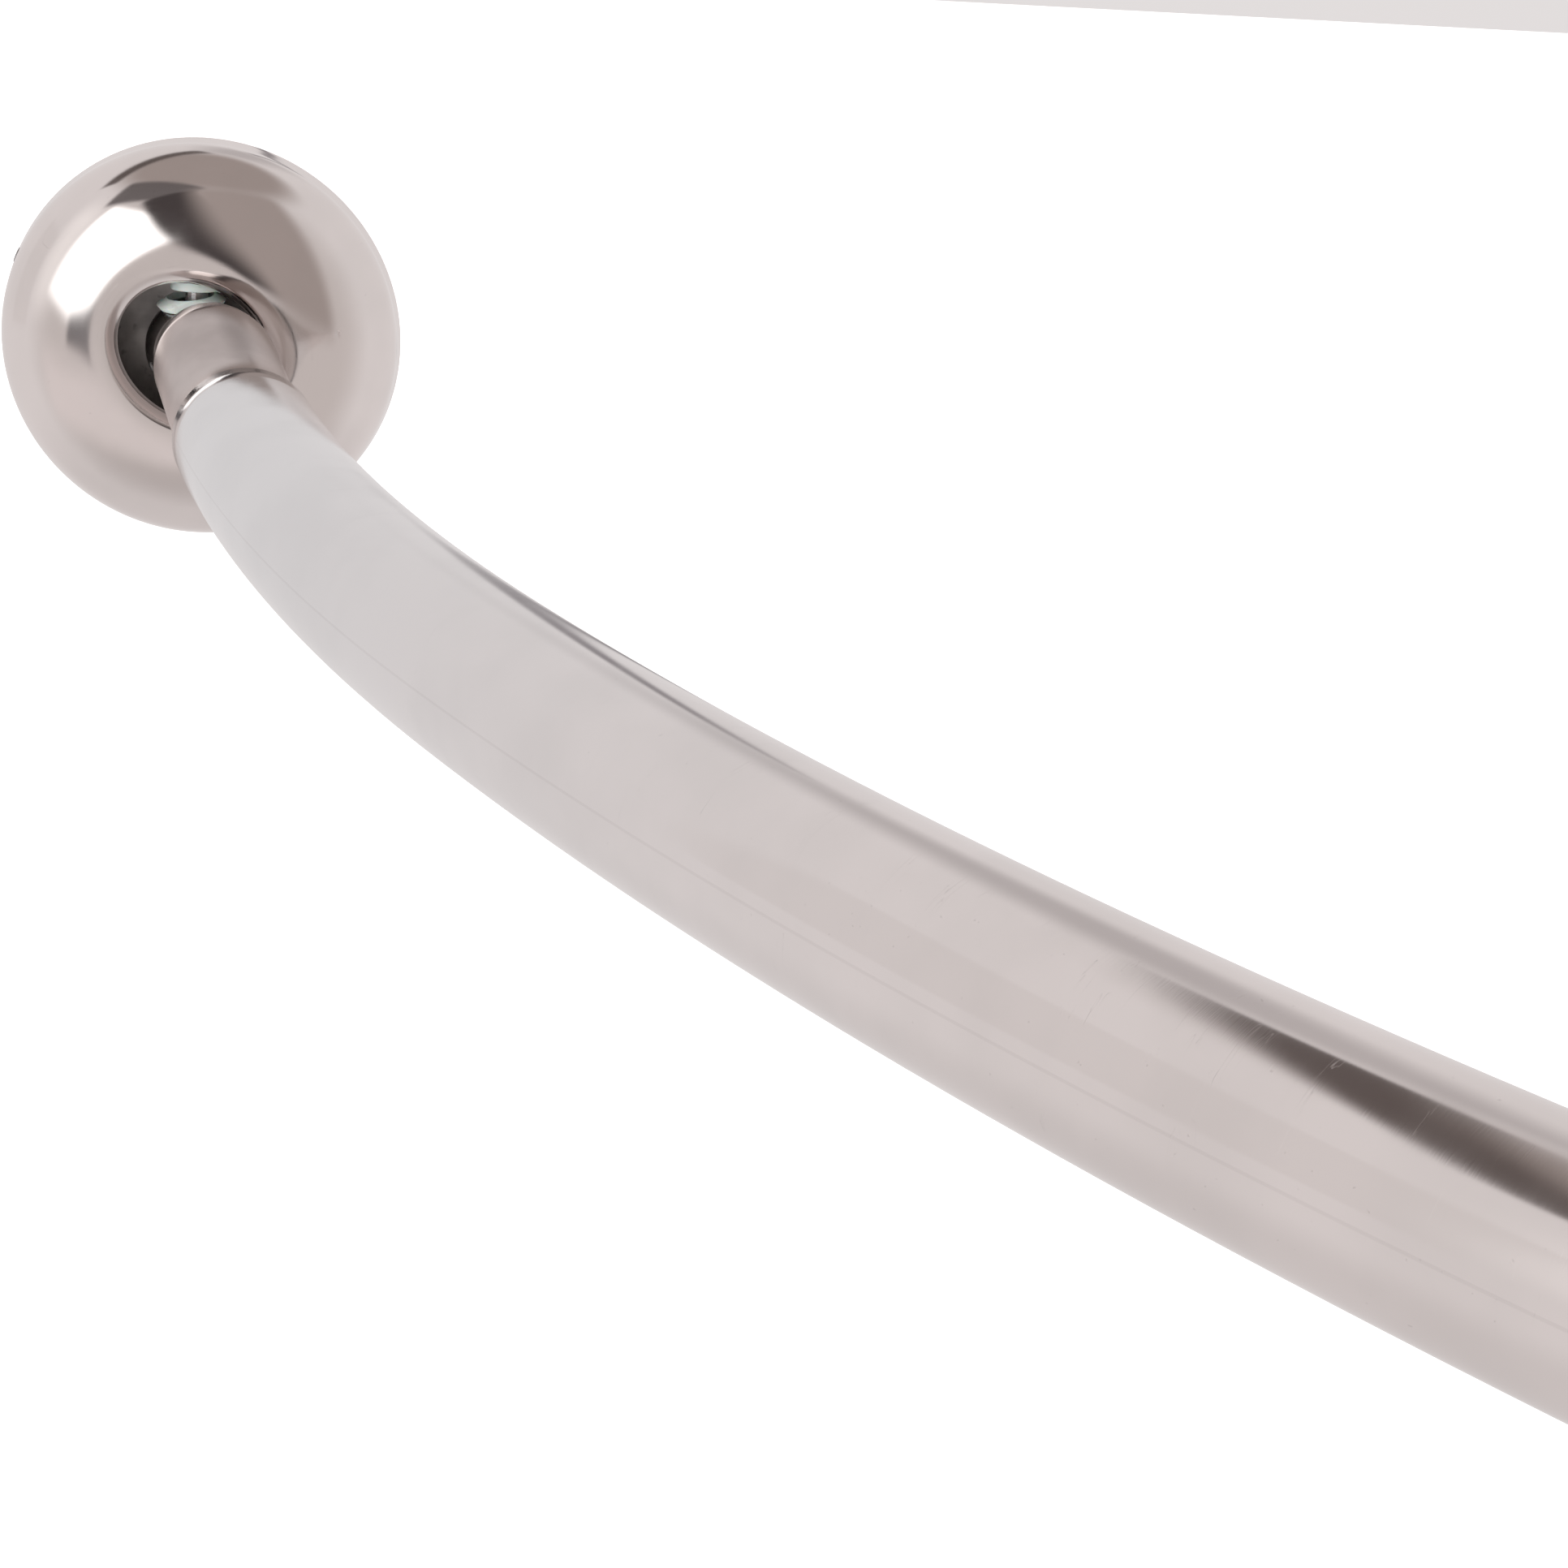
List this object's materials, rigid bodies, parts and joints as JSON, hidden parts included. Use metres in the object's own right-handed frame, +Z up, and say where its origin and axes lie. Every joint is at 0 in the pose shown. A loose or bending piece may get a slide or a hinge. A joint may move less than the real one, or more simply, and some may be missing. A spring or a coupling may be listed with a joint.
{
  "type": "curved shower curtain rod",
  "caption": "Bowed round shower curtain rod with a swivelling bracket under a domed cover at each end, for facing walls or square walls.",
  "frame": {"origin": "centre of the left wall plate's back face, where it meets the wall", "axes": "+X goes out of the left wall, +Z is up and parallel to both pivot pins, +Y is the side the rod bends towards; the line between the two pivots lies in the plane Z = 0 and the bow hangs 8.3 degrees below it"},
  "size_m": [1.1106, 1.1107, 0.078],
  "materials": {
    "polished_nickel": "polished, very fine brushed texture",
    "plain_steel": "satin",
    "fastener_steel": "bright zinc",
    "nylon": "natural nylon"
  },
  "bodies": {
    "left_bracket": {"left_wall_plate": "plain_steel", "left_clevis": "plain_steel", "left_upper_washer": "nylon", "left_lower_washer": "nylon", "left_pivot_screw": "fastener_steel", "left_pivot_nut": "fastener_steel"},
    "left_cover": {"left_cover": "polished_nickel", "left_cover_screw_upper": "fastener_steel", "left_cover_screw_lower": "fastener_steel"},
    "rod": {"tube": "polished_nickel", "left_swivel_ball": "plain_steel", "left_end_plug": "polished_nickel", "left_upper_seat_washer": "nylon", "left_lower_seat_washer": "nylon", "right_swivel_ball": "plain_steel", "right_end_plug": "polished_nickel", "right_upper_seat_washer": "nylon", "right_lower_seat_washer": "nylon"},
    "right_bracket": {"right_wall_plate": "plain_steel", "right_clevis": "plain_steel", "right_upper_washer": "nylon", "right_lower_washer": "nylon", "right_pivot_screw": "fastener_steel", "right_pivot_nut": "fastener_steel"},
    "right_cover": {"right_cover": "polished_nickel", "right_cover_screw_upper": "fastener_steel", "right_cover_screw_lower": "fastener_steel"}
  },
  "joints": [
    {"name": "left_swivel", "type": "hinge", "parent": "left_bracket", "child": "rod", "pos_m": [0.0145, 0, 0], "axis": [0, 0, 1], "range_deg": [-47, 23]},
    {"name": "right_swivel", "type": "hinge", "parent": "rod", "child": "right_bracket", "pos_m": [1.07169, 1.05719, 0], "axis": [0, 0, 1], "range_deg": [-47, 23]},
    {"name": "left_cover_turn", "type": "hinge", "parent": "left_bracket", "child": "left_cover", "pos_m": [0, 0, 0], "axis": [1, 0, 0], "range_deg": [-4, 66]},
    {"name": "right_cover_turn", "type": "hinge", "parent": "right_bracket", "child": "right_cover", "pos_m": [1.07169, 1.07169, 0], "axis": [0, -1, 0], "range_deg": [-66, 4]}
  ]
}
